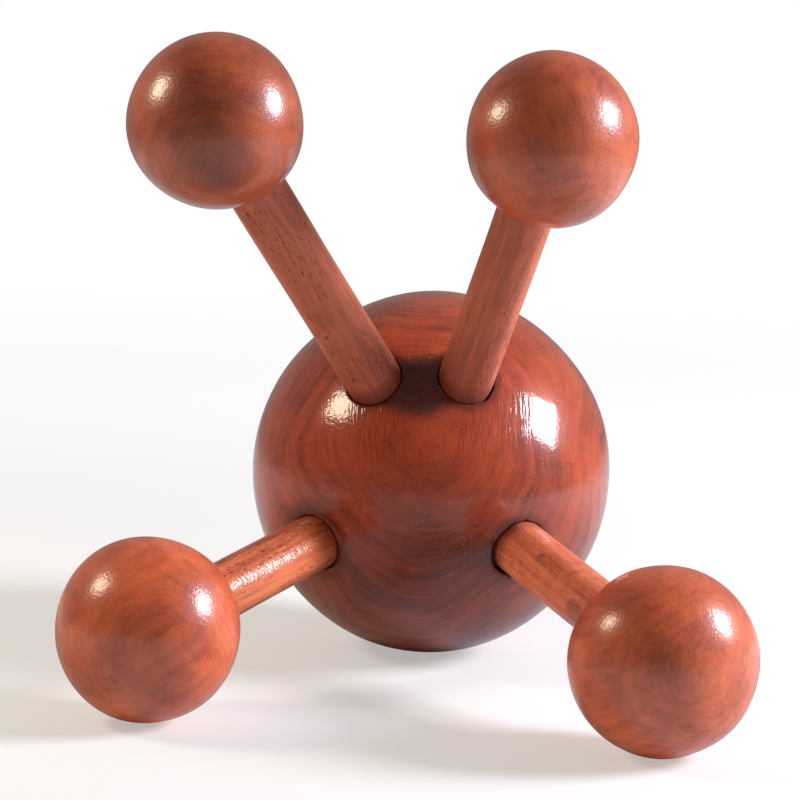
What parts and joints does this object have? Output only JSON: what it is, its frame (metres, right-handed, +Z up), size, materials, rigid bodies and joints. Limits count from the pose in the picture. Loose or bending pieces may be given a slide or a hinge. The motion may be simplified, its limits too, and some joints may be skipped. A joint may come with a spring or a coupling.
{
  "type": "wooden palm massager",
  "caption": "Hand massager: a large turned grip ball with splayed dowel legs that end in smaller turned pressing knobs.",
  "frame": {"origin": "on the surface the massager stands on, under the middle of its outline box", "axes": "+Z up; -Y is the front, where the legs reach; +X is to the right as seen from the front; the massager rests on the grip ball and its two lower knobs"},
  "size_m": [0.1176, 0.1208, 0.116],
  "materials": {
    "ball_wood": "glossy brushed lacquer over dark reddish-brown wood",
    "knob_wood": "satin-gloss lacquer over orange-red wood",
    "peg_wood": "thin satin lacquer over straight-grained wood with dark pores"
  },
  "bodies": {
    "root": {"grip_ball": "ball_wood", "peg_upper_left": "peg_wood", "peg_upper_right": "peg_wood", "peg_lower_left": "peg_wood", "peg_lower_right": "peg_wood", "knob_upper_left": "knob_wood", "knob_upper_right": "knob_wood", "knob_lower_left": "knob_wood", "knob_lower_right": "knob_wood"}
  },
  "joints": []
}
